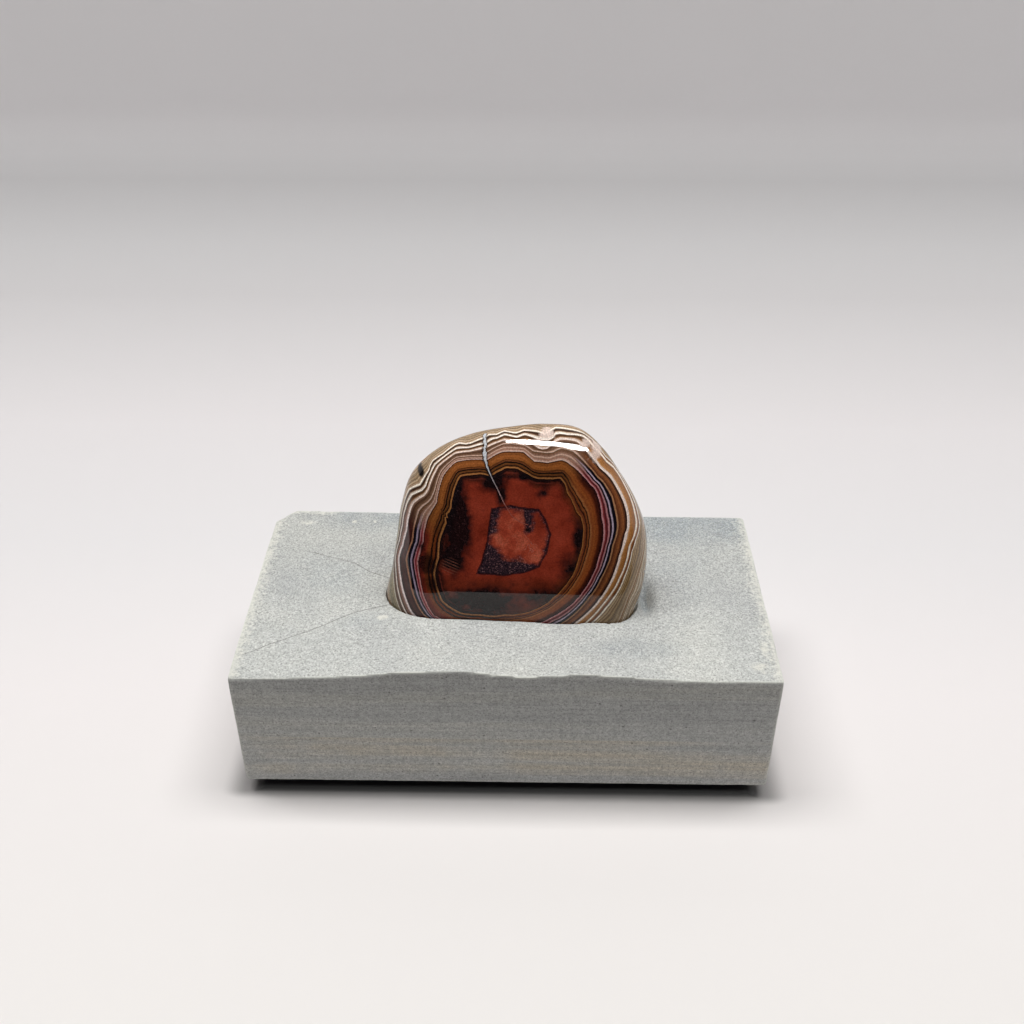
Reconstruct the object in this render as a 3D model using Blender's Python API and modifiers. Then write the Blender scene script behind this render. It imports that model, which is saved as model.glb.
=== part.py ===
# A polished agate standing in a recess cut in the top of a small sawn stone block.
# Metres, +Z up. The origin is under the middle of the block, on the surface that it
# stands on; the agate's flat polished face looks along -Y and leans back a little.

import math

import bmesh
import bpy
from mathutils import Matrix, Vector, noise

MM = 0.001
COLLECTION_NAME = "agate"
CUTTER_COLLECTION_NAME = "agate_cutters"

# The block: sawn sides and base, and a natural, gently uneven top
BLOCK_WIDTH = 130 * MM
BLOCK_DEPTH_LEFT = 68 * MM
BLOCK_DEPTH_RIGHT = 66.4 * MM
BLOCK_HEIGHT = 35.4 * MM
BLOCK_EDGE_ROUNDING = 0.5 * MM
BLOCK_EDGE_SEGMENTS = 2
BLOCK_CORNER_ANGLE = math.radians(60)
TOP_CELLS_ACROSS = 40
TOP_CELLS_DEEP = 20

# How far the top rises above BLOCK_HEIGHT along its front edge: x and rise, in mm
FRONT_EDGE_RISE = (
    (-65, -0.9), (-44, -0.1), (-34, 0.5), (-25, 1.6), (-16, 1.9), (-9, 2.1),
    (-3, 1.3), (1.5, 0.5), (7, 1.2), (12, 1.0), (17, 1.6), (25, 1.0),
    (34, 0.4), (48, 0.0), (65, 0.0),
)
RISE_FADE = 9 * MM
WAVE_HEIGHT = 0.3 * MM
WAVE_LENGTH = 26 * MM
DIP_DEPTH = 0.9 * MM
DIP_CENTRE_X = 14 * MM
DIP_CENTRE_Y = -15 * MM
DIP_RADIUS = 11 * MM

# The feet: small round rubber pads stuck under the block
FOOT_HEIGHT = 3.5 * MM
FOOT_RADIUS = 5.5 * MM
FOOT_INSET_X = 13.5 * MM
FOOT_INSET_Y = 12.5 * MM
FOOT_SIDES = 28
FOOT_ROUNDING = 0.5 * MM
FOOT_ROUNDING_SEGMENTS = 2

# The agate's outline seen from the front, at its widest: x and height in mm,
# with heights measured from the underside of the block
OUTLINE = (
    (34.9, 48), (34.3, 53.5), (31.8, 60.8), (27.5, 68.6), (23.0, 75.3),
    (17.1, 80.5), (9.0, 81.5), (0.4, 80.6), (-8.7, 78.6), (-17.1, 74.5),
    (-23.2, 68.4), (-25.7, 61.5), (-27.3, 52.5), (-28.9, 43.5), (-30.7, 34.2),
    (-29.2, 28.0), (-20.0, 24.7), (-6.0, 23.9), (9.0, 23.9), (21.5, 24.9),
    (30.3, 28.9), (33.8, 37.0),
)
OUTLINE_CENTRE_X = 1.8 * MM
OUTLINE_CENTRE_Z = 50 * MM

# How far in from the outline the front edge is rounded over: angle in degrees,
# anticlockwise from +X as seen from the front, and width in mm
FRONT_ROUNDING = (
    (0, 10), (35, 10.5), (70, 9.5), (100, 9), (130, 11), (165, 13), (200, 17),
    (230, 14), (260, 11), (300, 10), (330, 7.3),
)
BACK_ROUNDING_SHARE = 0.62
ROUNDING_POWER = 2.1

# The flat front face and the back, where they stand at the height of the block's top
FACE_Y = -12.3 * MM
FACE_LEAN = math.radians(10.5)
FACE_TURN = math.radians(1.1)
BACK_Y = 12.2 * MM
BACK_LEAN = math.radians(-1.7)
LEFT_RIM_FORWARD = 2.4 * MM
LEFT_RIM_DIRECTION = math.radians(200)

STONE_SEGMENTS = 64
STONE_RINGS = 28
FLAT_RING_SHARE = 0.28

# Pieces that touch keep this much between them
TOUCH_GAP = 0.3 * MM
SMOOTH_ANGLE = math.radians(32)

# The broken corner of the block and the small nick at the front right corner, each
# cut by one face of a rough cube that looks the given way, seen from above
CORNER_BREAK_HEADING = (-1, 0.85)
CORNER_BREAK_SIZE = 26 * MM
CORNER_BREAK_DEPTH = 3.4 * MM
CORNER_BREAK_SLOPE = math.radians(24)
CORNER_BREAK_ROUGHNESS = 0.9 * MM
NICK_HEADING = (1, -1)
NICK_SIZE = 9 * MM
NICK_DEPTH = 0.7 * MM
NICK_SLOPE = math.radians(30)
NICK_ROUGHNESS = 0.3 * MM
BREAK_CUTS = 7
BREAK_GRAIN = 4 * MM

# Colours as linear red, green and blue
AGATE_RED = (0.23, 0.07, 0.035)
STONE_GREY = (0.36, 0.37, 0.36)
RUBBER_BLACK = (0.02, 0.02, 0.021)
AGATE_ROUGHNESS = 0.08
STONE_ROUGHNESS = 0.8
RUBBER_ROUGHNESS = 0.7


def remove_scene_objects():
    for item in list(bpy.data.objects):
        bpy.data.objects.remove(item, do_unlink=True)


def new_collection(name):
    collection = bpy.data.collections.new(name)
    bpy.context.scene.collection.children.link(collection)
    return collection


def make_material(name, colour, roughness, metallic=0.0):
    material = bpy.data.materials.new(name)
    material.use_nodes = True
    shader = material.node_tree.nodes["Principled BSDF"]
    shader.inputs["Base Color"].default_value = (*colour, 1.0)
    shader.inputs["Roughness"].default_value = roughness
    shader.inputs["Metallic"].default_value = metallic
    return material


def add_object(name, shape, collection, material=None, parent=None):
    """Turn a bmesh into a named object with its smooth and sharp edges set."""
    mesh = bpy.data.meshes.new(name)
    shape.to_mesh(mesh)
    shape.free()
    mesh.shade_smooth()
    mesh.set_sharp_from_angle(angle=SMOOTH_ANGLE)
    thing = bpy.data.objects.new(name, mesh)
    collection.objects.link(thing)
    thing.parent = parent
    if material:
        mesh.materials.append(material)
    return thing


def mark_as_cutter(thing):
    thing.hide_render = True
    thing.display_type = "WIRE"


def smooth_curve(points, at, period=None):
    """Read a smooth curve through (position, value) pairs, in a loop if it has a period."""
    points = sorted(points)
    if period:
        before = [(x - period, v) for x, v in points[-2:]]
        after = [(x + period, v) for x, v in points[:2]]
        points = before + points + after
        while at < points[1][0]:
            at += period
        while at >= points[-2][0]:
            at -= period
    else:
        points = [points[0]] + points + [points[-1]]
        at = min(max(at, points[0][0]), points[-1][0])
    index = 1
    while index < len(points) - 3 and at > points[index + 1][0]:
        index += 1
    (x0, v0), (x1, v1), (x2, v2), (x3, v3) = points[index - 1:index + 3]
    span = x2 - x1
    t = (at - x1) / span
    slope_in = (v2 - v0) / (x2 - x0) * span
    slope_out = (v3 - v1) / (x3 - x1) * span
    return (
        (2 * t**3 - 3 * t**2 + 1) * v1 + (t**3 - 2 * t**2 + t) * slope_in
        + (3 * t**2 - 2 * t**3) * v2 + (t**3 - t**2) * slope_out
    )


def outline_by_angle():
    """Give the outline as (angle, radius) pairs about its centre."""
    pairs = []
    for x, z in OUTLINE:
        across = x * MM - OUTLINE_CENTRE_X
        up = z * MM - OUTLINE_CENTRE_Z
        pairs.append((math.atan2(up, across) % math.tau, math.hypot(across, up)))
    return pairs


OUTLINE_PAIRS = outline_by_angle()
ROUNDING_PAIRS = [(math.radians(angle), width * MM) for angle, width in FRONT_ROUNDING]


def face_y(x, z):
    height = z - BLOCK_HEIGHT
    return FACE_Y + height * math.tan(FACE_LEAN) - x * math.tan(FACE_TURN)


def back_y(z):
    return BACK_Y + (z - BLOCK_HEIGHT) * math.tan(BACK_LEAN)


def stone_point(direction, grow):
    """Map a direction on a ball to the agate's surface, grown outwards by grow.

    The front half of the ball becomes a flat face with a rounded edge, and the
    back half a fuller, domed side. Both meet at the widest outline.
    """
    angle = math.atan2(direction.z, direction.x) % math.tau
    tilt = math.acos(max(-1.0, min(1.0, -direction.y)))
    in_front = tilt <= math.pi / 2
    ring = (tilt if in_front else math.pi - tilt) / (math.pi / 2)
    radius = smooth_curve(OUTLINE_PAIRS, angle, math.tau)
    if in_front:
        width = smooth_curve(ROUNDING_PAIRS, angle, math.tau)
    else:
        width = radius * BACK_ROUNDING_SHARE
    flat_share = 1 - width / radius
    if ring < FLAT_RING_SHARE:
        share = flat_share * ring / FLAT_RING_SHARE
        fullness = 1.0
    else:
        turn = (ring - FLAT_RING_SHARE) / (1 - FLAT_RING_SHARE) * math.pi / 2
        share = flat_share + (1 - flat_share) * math.sin(turn) ** (2 / ROUNDING_POWER)
        fullness = max(math.cos(turn), 0.0) ** (2 / ROUNDING_POWER)
    rim = Vector((math.cos(angle), 0, math.sin(angle))) * radius
    x = OUTLINE_CENTRE_X + rim.x * share
    z = OUTLINE_CENTRE_Z + rim.z * share
    rim_x = OUTLINE_CENTRE_X + rim.x
    rim_z = OUTLINE_CENTRE_Z + rim.z
    forward = max(math.cos(angle - LEFT_RIM_DIRECTION), 0.0) ** 2 * LEFT_RIM_FORWARD
    rim_y = (face_y(rim_x, rim_z) + back_y(rim_z)) / 2 - forward
    side_y = face_y(x, z) if in_front else back_y(z)
    outward = -1 if in_front else 1
    grown_share = 1 + grow / radius
    return Vector((
        OUTLINE_CENTRE_X + rim.x * share * grown_share,
        rim_y + (side_y - rim_y + outward * grow) * fullness,
        OUTLINE_CENTRE_Z + rim.z * share * grown_share + FOOT_HEIGHT,
    ))


def stone_shape(grow=0.0):
    """Make the agate's closed surface from a ball whose poles face front and back."""
    shape = bmesh.new()
    bmesh.ops.create_uvsphere(
        shape, u_segments=STONE_SEGMENTS, v_segments=STONE_RINGS, radius=1.0,
        matrix=Matrix.Rotation(math.radians(90), 4, "X"),
    )
    for vertex in shape.verts:
        vertex.co = stone_point(vertex.co.normalized(), grow)
    bmesh.ops.recalc_face_normals(shape, faces=shape.faces)
    return shape


def back_edge_y(x):
    """The block is a little less deep at its right end."""
    share = x / BLOCK_WIDTH + 0.5
    depth = BLOCK_DEPTH_LEFT + (BLOCK_DEPTH_RIGHT - BLOCK_DEPTH_LEFT) * share
    return depth - BLOCK_DEPTH_LEFT / 2


def top_rise(x, y):
    """How far the natural top stands above or below the block's plain height."""
    from_front = y + BLOCK_DEPTH_LEFT / 2
    rise = smooth_curve(FRONT_EDGE_RISE, x / MM) * MM * math.exp(-from_front / RISE_FADE)
    waves = noise.noise(Vector((x, y, 0.0)) / WAVE_LENGTH) * WAVE_HEIGHT
    dip_distance = math.hypot(x - DIP_CENTRE_X, y - DIP_CENTRE_Y) / DIP_RADIUS
    dip = DIP_DEPTH * math.exp(-dip_distance**2)
    return rise + waves - dip * (1 - math.exp(-from_front / RISE_FADE))


def subdivide_top(shape, middle):
    """Cut the top face into a grid, leaving the sides and the base whole."""
    sizes = (BLOCK_WIDTH, BLOCK_DEPTH_LEFT)
    for axis, cells in ((0, TOP_CELLS_ACROSS), (1, TOP_CELLS_DEEP)):
        edges = [
            edge for edge in shape.edges
            if all(vertex.co.z > middle for vertex in edge.verts)
            and abs(edge.verts[0].co[axis] - edge.verts[1].co[axis]) > sizes[axis] / 2
        ]
        bmesh.ops.subdivide_edges(shape, edges=edges, cuts=cells - 1, use_grid_fill=True)


def block_shape():
    middle = FOOT_HEIGHT + BLOCK_HEIGHT / 2
    front = -BLOCK_DEPTH_LEFT / 2
    shape = bmesh.new()
    bmesh.ops.create_cube(shape, size=1.0)
    bmesh.ops.scale(shape, vec=(BLOCK_WIDTH, BLOCK_DEPTH_LEFT, BLOCK_HEIGHT), verts=shape.verts)
    bmesh.ops.translate(shape, vec=(0, 0, middle), verts=shape.verts)
    subdivide_top(shape, middle)
    for vertex in shape.verts:
        share = (vertex.co.y - front) / BLOCK_DEPTH_LEFT
        vertex.co.y = front + (back_edge_y(vertex.co.x) - front) * share
        if vertex.co.z > middle:
            vertex.co.z += top_rise(vertex.co.x, vertex.co.y)
    corners = [edge for edge in shape.edges if edge.calc_face_angle() > BLOCK_CORNER_ANGLE]
    bmesh.ops.bevel(
        shape, geom=corners, offset=BLOCK_EDGE_ROUNDING, segments=BLOCK_EDGE_SEGMENTS,
        profile=0.5, affect="EDGES",
    )
    return shape


def break_shape(size, roughness):
    """A rough cube whose faces stand for a break in the stone."""
    shape = bmesh.new()
    bmesh.ops.create_cube(shape, size=size)
    bmesh.ops.subdivide_edges(shape, edges=shape.edges, cuts=BREAK_CUTS, use_grid_fill=True)
    for vertex in shape.verts:
        vertex.co += noise.noise_vector(vertex.co / BREAK_GRAIN) * roughness
    return shape


def add_break_cutter(name, collection, corner, outward, size, depth, slope, roughness):
    """Place a rough cube so that one face slices depth off a top corner of the block."""
    cutter = add_object(name, break_shape(size, roughness), collection)
    heading = math.atan2(outward[1], outward[0])
    direction = Vector((math.cos(heading) * math.cos(slope),
                        math.sin(heading) * math.cos(slope),
                        math.sin(slope)))
    cutter.rotation_euler = (0, -slope, heading)
    cutter.location = corner + direction * (size / 2 - depth)
    mark_as_cutter(cutter)
    return cutter


def cut(thing, cutter):
    modifier = thing.modifiers.new(cutter.name, "BOOLEAN")
    modifier.operation = "DIFFERENCE"
    modifier.solver = "EXACT"
    modifier.object = cutter


def add_agate(collection, parent):
    material = make_material("polished_agate", AGATE_RED, AGATE_ROUGHNESS)
    return add_object("agate", stone_shape(), collection, material, parent)


def add_block(collection, cutters, parent):
    material = make_material("sawn_grey_stone", STONE_GREY, STONE_ROUGHNESS)
    block = add_object("stone_block", block_shape(), collection, material, parent)
    recess = add_object("recess_cutter", stone_shape(TOUCH_GAP), cutters)
    mark_as_cutter(recess)
    top = FOOT_HEIGHT + BLOCK_HEIGHT
    back_left = Vector((-BLOCK_WIDTH / 2, back_edge_y(-BLOCK_WIDTH / 2), top))
    front_right = Vector((BLOCK_WIDTH / 2, -BLOCK_DEPTH_LEFT / 2, top))
    corner_break = add_break_cutter(
        "corner_break_cutter", cutters, back_left, CORNER_BREAK_HEADING,
        CORNER_BREAK_SIZE, CORNER_BREAK_DEPTH, CORNER_BREAK_SLOPE, CORNER_BREAK_ROUGHNESS,
    )
    nick = add_break_cutter(
        "nick_cutter", cutters, front_right, NICK_HEADING,
        NICK_SIZE, NICK_DEPTH, NICK_SLOPE, NICK_ROUGHNESS,
    )
    for cutter in (recess, corner_break, nick):
        cut(block, cutter)
    return block


def add_foot(name, x, y, collection, parent, material):
    bpy.ops.mesh.primitive_cylinder_add(
        vertices=FOOT_SIDES, radius=FOOT_RADIUS, depth=FOOT_HEIGHT - TOUCH_GAP,
        location=(x, y, (FOOT_HEIGHT - TOUCH_GAP) / 2),
    )
    foot = bpy.context.object
    foot.name = name
    foot.data.name = name
    foot.data.shade_smooth()
    foot.data.set_sharp_from_angle(angle=SMOOTH_ANGLE)
    foot.data.materials.append(material)
    rounding = foot.modifiers.new("rounding", "BEVEL")
    rounding.width = FOOT_ROUNDING
    rounding.segments = FOOT_ROUNDING_SEGMENTS
    rounding.limit_method = "ANGLE"
    for owner in list(foot.users_collection):
        owner.objects.unlink(foot)
    collection.objects.link(foot)
    foot.parent = parent
    return foot


def add_feet(collection, parent):
    material = make_material("black_rubber", RUBBER_BLACK, RUBBER_ROUGHNESS)
    across = BLOCK_WIDTH / 2 - FOOT_INSET_X
    front = BLOCK_DEPTH_LEFT / 2 - FOOT_INSET_Y
    back = BLOCK_DEPTH_RIGHT - BLOCK_DEPTH_LEFT / 2 - FOOT_INSET_Y
    for end, x in (("left", -across), ("right", across)):
        add_foot("foot_front_" + end, x, -front, collection, parent, material)
        add_foot("foot_back_" + end, x, back, collection, parent, material)


def build():
    remove_scene_objects()
    parts = new_collection(COLLECTION_NAME)
    cutters = new_collection(CUTTER_COLLECTION_NAME)
    base = bpy.data.objects.new("agate_display", None)
    parts.objects.link(base)
    add_agate(parts, base)
    add_block(parts, cutters, base)
    add_feet(parts, base)


build()
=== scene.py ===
# A polished banded agate standing in a recess in a small sawn block of grey stone
import math
from functools import partial

import bmesh
import bpy
import numpy as np
from mathutils import Matrix, Vector, noise


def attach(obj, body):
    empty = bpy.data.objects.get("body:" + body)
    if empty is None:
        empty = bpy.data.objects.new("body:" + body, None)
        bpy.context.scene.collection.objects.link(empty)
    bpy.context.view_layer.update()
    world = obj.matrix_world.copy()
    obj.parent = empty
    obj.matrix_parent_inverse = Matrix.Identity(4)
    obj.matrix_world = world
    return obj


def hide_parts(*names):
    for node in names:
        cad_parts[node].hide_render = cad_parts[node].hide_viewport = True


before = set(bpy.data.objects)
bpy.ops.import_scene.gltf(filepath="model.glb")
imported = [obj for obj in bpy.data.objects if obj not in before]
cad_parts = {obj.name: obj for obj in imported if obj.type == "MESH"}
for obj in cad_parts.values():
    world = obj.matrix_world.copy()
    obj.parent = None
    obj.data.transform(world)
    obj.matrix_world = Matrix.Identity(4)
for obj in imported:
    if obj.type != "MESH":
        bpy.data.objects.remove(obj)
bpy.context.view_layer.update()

mm = 0.001

# the picture: the camera, the lamp, the paper, and what only the gloss or the other views see
studio = {
    "cameraPlace": (5.83, -231.17, 224.58),   # mm
    "cameraPitch": 35.03,            # degrees below level
    "cameraTurn": 1.15,
    "cameraRoll": -0.16,
    "lens": 40.58,                   # mm, on a 36 mm sensor
    "lampPlace": (-60, 113, 1150),   # mm
    "lampSize": (1300, 360),
    "lampWatts": 17.1,
    "stripFar": (                    # mm, the far edge of the curved strip, then the near one
        (-275, 20), (-262, -20), (-248, -55), (-185, -130), (-87, -210), (10, -285), (200, -350),
        (437, -345), (1079, -240), (1902, 120)),
    "stripNear": (
        (-275, -110), (-262, -260), (-248, -340), (-192, -418), (-72, -490), (15, -540), (193, -600),
        (507, -690), (1069, -620), (1844, -180)),
    "stripHeight": 1150,
    "stripStrength": 60.0,
    "worldStrength": 0.05,
    "paperColour": "#e4e1e0",
    "paperPaintedShading": (-100, 300),       # mm from front to back, where its painted shading starts and ends
    "paperCurveFrom": 145,           # mm behind the middle, where the paper starts to rise
    "paperCurveRadius": 92,
    "paperHeight": 420,
    "paperReach": 3000,
    "blockHalf": (65, 34),           # mm, half of the block's length and width
    "gapHalf": (63.5, 34.6),         # mm, the same of the dark gap under it
    "contactReach": 7,               # mm, how far the soft shadow goes at the block's ends
    "contactAspect": 2.1,            # and how many times less at its long sides
    "contactLight": 0.45,            # share of the light that is left close to the block
    "wallRadius": 800,
    "wallHeight": 1600,
    "cardPlace": (0, -20, 66.5),
    "cardSize": (1200, 47),
}


def toLinear(hexColour):
    values = [int(hexColour[i:i + 2], 16) / 255 for i in (1, 3, 5)]
    return tuple(v / 12.92 if v <= 0.04045 else ((v + 0.055) / 1.055) ** 2.4 for v in values) + (1.0,)


# adds one node and returns one of its outputs: inputs are values, colours or other
# outputs, and stops fill a ramp
def addNode(tree, kind, inputs=None, out=0, stops=None, **settings):
    node = tree.nodes.new("ShaderNode" + kind)
    for name, value in settings.items():
        setattr(node, name, value)
    for key, value in (inputs or {}).items():
        if isinstance(value, bpy.types.NodeSocket):
            tree.links.new(value, node.inputs[key])
        else:
            node.inputs[key].default_value = toLinear(value) if isinstance(value, str) else value
    if stops:
        ramp = node.color_ramp
        while len(ramp.elements) < len(stops):
            ramp.elements.new(1.0)
        for element, (place, hexColour) in zip(ramp.elements, stops):
            element.position = place
            element.color = toLinear(hexColour)
    return node.outputs[out] if node.outputs else node


blend = {"out": 2, "data_type": "RGBA"}      # for a Mix node: 0 is the share of colour 7 over colour 6


# a new material, and the function that adds nodes to it
def newMaterial(name):
    material = bpy.data.materials.new(name)
    material.use_nodes = True
    material.node_tree.nodes.clear()
    return material, partial(addNode, material.node_tree)


# a value multiplied by a factor, which goes from first to last as a pattern goes from low to high
def fade(add, value, pattern, low, high, first=0.0, last=1.0, kind="Math"):
    factor = add("MapRange", {0: pattern, 1: low, 2: high, 3: first, 4: last})
    return add(kind, {0: value, 1: factor}, operation="MULTIPLY")


# the same for a colour
def tint(add, colour, pattern, low, high, first, last):
    return fade(add, colour, pattern, low, high, first, last, "VectorMath")


def addPiece(name, mesh, material, body, slot, *nodes):
    piece = bpy.data.objects.new(name, mesh)
    bpy.context.scene.collection.objects.link(piece)
    mesh.materials.clear()
    mesh.materials.append(material)
    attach(piece, body)
    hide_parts(*nodes)


# camera and studio

def makeCamera():
    pitch = math.radians(studio["cameraPitch"])
    camera = bpy.data.objects.new("camera", bpy.data.cameras.new("camera"))
    camera.data.lens = studio["lens"]
    camera.data.sensor_width = 36
    camera.data.clip_start = 0.01
    camera.data.clip_end = 20
    turn = Matrix.Rotation(math.radians(studio["cameraTurn"]), 4, "Z")
    roll = Matrix.Rotation(math.radians(studio["cameraRoll"]), 4, "Z")
    tilt = Matrix.Rotation(math.pi / 2 - pitch, 4, "X")
    camera.matrix_world = Matrix.Translation(Vector(studio["cameraPlace"]) * mm) @ turn @ tilt @ roll
    bpy.context.scene.collection.objects.link(camera)
    bpy.context.scene.camera = camera


# the long lamp overhead, whose mirror image is the strip's and not its own
def makeLamp():
    lamp = bpy.data.objects.new("overheadLamp", bpy.data.lights.new("overheadLamp", "AREA"))
    lamp.data.shape = "RECTANGLE"
    lamp.data.size = studio["lampSize"][0] * mm
    lamp.data.size_y = studio["lampSize"][1] * mm
    lamp.data.energy = studio["lampWatts"]
    lamp.data.color = toLinear("#fffefb")[:3]
    lamp.location = Vector(studio["lampPlace"]) * mm
    lamp.visible_glossy = False
    bpy.context.scene.collection.objects.link(lamp)


# a piece of the studio, which the named kinds of light rays pass by
def addStagePiece(name, shape, material, *hiddenFrom):
    mesh = bpy.data.meshes.new(name)
    shape.to_mesh(mesh)
    shape.free()
    mesh.materials.append(material)
    mesh.shade_smooth()
    piece = bpy.data.objects.new(name, mesh)
    bpy.context.scene.collection.objects.link(piece)
    for rays in hiddenFrom:
        setattr(piece, "visible_" + rays, False)


# one wide sheet of paper: flat under the stones, curved up behind them
def makePaper():
    paper, add = newMaterial("mattWhitePaper")
    place = add("TexCoord", out="Object")
    # painted shade and light: the paper is painted darker from the front back to its curve, and lighter on
    # its upright part
    start, end = studio["paperPaintedShading"]
    depth = add("MapRange", {0: add("SeparateXYZ", {0: place}, out=1), 1: start * mm, 2: end * mm})
    shade = add("ValToRGB", {0: depth}, stops=(
        (0.0, studio["paperColour"]), (0.25, "#dedadb"), (0.43, "#d2d0d2"), (0.63, "#cac7c9"),
        (0.77, "#c6c4c6"), (0.805, "#cfced0"), (0.832, "#d2d1d3"), (0.839, "#e2e1e3"), (0.8425, "#f7f5f7")))
    # the contact shadow: soft close to the block, and deep in the low gap under it
    length, width = studio["blockHalf"]
    mirrored = add("VectorMath", {0: place}, operation="ABSOLUTE")
    beside = add("VectorMath", {0: mirrored, 1: (length * mm, width * mm, 0)}, operation="SUBTRACT")
    beside = add("VectorMath", {0: beside, 1: (0, 0, 0)}, operation="MAXIMUM")
    beside = add("VectorMath", {0: beside, 1: (1, studio["contactAspect"], 0)}, operation="MULTIPLY")
    beside = add("VectorMath", {0: beside}, out="Value", operation="LENGTH")
    beside = add("MapRange", {0: beside, 2: studio["contactReach"] * mm, 3: studio["contactLight"]},
                 interpolation_type="SMOOTHSTEP")
    shade = add("VectorMath", {0: shade, 1: beside}, operation="MULTIPLY")
    length, width = studio["gapHalf"]
    under = add("VectorMath", {0: mirrored, 1: (length * mm, width * mm, 1)}, operation="DIVIDE")
    sides = add("SeparateXYZ", {0: under})
    under = add("Math", {0: sides, 1: sides.node.outputs[1]}, operation="MAXIMUM")
    under = add("MapRange", {0: under, 1: 1.0, 2: 0.96})
    shade = add("Mix", {0: under, 6: shade, 7: "#3c3b3d"}, **blend)
    shader = add("BsdfPrincipled", {"Base Color": shade, "Roughness": 0.9, "Specular IOR Level": 0.2})
    add("OutputMaterial", {"Surface": shader})
    reach, start, radius = studio["paperReach"], studio["paperCurveFrom"], studio["paperCurveRadius"]
    shape = bmesh.new()
    front = [shape.verts.new((side * reach * mm, -reach * mm, 0)) for side in (-1, 1)]

    def pull(edge, move):
        new = bmesh.ops.extrude_edge_only(shape, edges=edge)["geom"]
        bmesh.ops.translate(shape, verts=[v for v in new if isinstance(v, bmesh.types.BMVert)], vec=move)
        return [e for e in new if isinstance(e, bmesh.types.BMEdge)]

    edge = pull([shape.edges.new(front)], (0, (reach + start) * mm, 0))
    steps = 24
    for step in range(steps):
        turn, last = (step + 1) / steps * math.pi / 2, step / steps * math.pi / 2
        move = (math.sin(turn) - math.sin(last), math.cos(last) - math.cos(turn))
        edge = pull(edge, (0, move[0] * radius * mm, move[1] * radius * mm))
    pull(edge, (0, 0, (studio["paperHeight"] - radius) * mm))
    bmesh.ops.recalc_face_normals(shape, faces=shape.faces)
    addStagePiece("paper", shape, paper)


# the strip whose mirror image is the long thin highlight on the agate's top edge
def makeStrip():
    glow, add = newMaterial("glowingStrip")
    light = add("Emission", {"Color": "#fffefb", "Strength": studio["stripStrength"]})
    add("OutputMaterial", {"Surface": light})
    shape = bmesh.new()
    height = studio["stripHeight"]
    rungs = [shape.edges.new([shape.verts.new(Vector((x, y, height)) * mm) for x, y in rung])
             for rung in zip(studio["stripFar"], studio["stripNear"])]
    for one, other in zip(rungs[:-1], rungs[1:]):
        bmesh.ops.bridge_loops(shape, edges=[one, other])
    addStagePiece("glossStrip", shape, glow, "camera", "diffuse", "shadow")


# a pale wall all round, glowing with painted light, which only the other views see past the paper's edges;
# its foot is 1 mm under the floor, and it is painted darker higher up, to half a metre
def makeWall():
    wallGlow, add = newMaterial("glowingPaleWall")
    height = add("SeparateXYZ", {0: add("TexCoord", out="Object")}, out=2)
    tone = add("ValToRGB", {0: add("MapRange", {0: height, 2: 0.5})}, stops=(
        (0.0, "#c6c2c2"), (0.3, "#b6b3b4"), (1.0, "#b0adae")))
    add("OutputMaterial", {"Surface": add("Emission", {"Color": tone, "Strength": 1.0})})
    wallGlow.cycles.emission_sampling = "NONE"
    radius, height = studio["wallRadius"] * mm, studio["wallHeight"] * mm
    shape = bmesh.new()
    bmesh.ops.create_cone(shape, segments=96, radius1=radius, radius2=radius, depth=height,
                          matrix=Matrix.Translation((0, 0, height / 2 - mm)))
    addStagePiece("wall", shape, wallGlow, "diffuse", "glossy", "shadow", "transmission")


# a black card whose mirror image keeps the agate's upper face dark
def makeCard():
    black, add = newMaterial("blackCard")
    add("OutputMaterial", {"Surface": add("BsdfPrincipled", {
        "Base Color": "#050505", "Roughness": 1.0, "Specular IOR Level": 0.0})})
    width, height = studio["cardSize"]
    place = Matrix.Translation(Vector(studio["cardPlace"]) * mm)
    size = Matrix.Diagonal((width * mm, height * mm, 1, 1))
    shape = bmesh.new()
    bmesh.ops.create_grid(shape, x_segments=1, y_segments=1, size=0.5,
                          matrix=place @ Matrix.Rotation(math.pi / 2, 4, "X") @ size)
    addStagePiece("card", shape, black, "camera", "diffuse", "shadow", "transmission")


def makeStudio():
    makePaper()
    makeWall()
    makeCard()
    makeLamp()
    makeStrip()
    world = bpy.data.worlds.new("studioAir")
    world.use_nodes = True
    world.node_tree.nodes["Background"].inputs[0].default_value = toLinear("#f2f4f8")
    world.node_tree.nodes["Background"].inputs[1].default_value = studio["worldStrength"]
    bpy.context.scene.world = world
    bpy.context.scene.view_settings.view_transform = "Standard"


makeCamera()
makeStudio()
print("camera, floor and lamps set")


# the agate: its form follows the part's, and its bands are lines read round the stone

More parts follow.
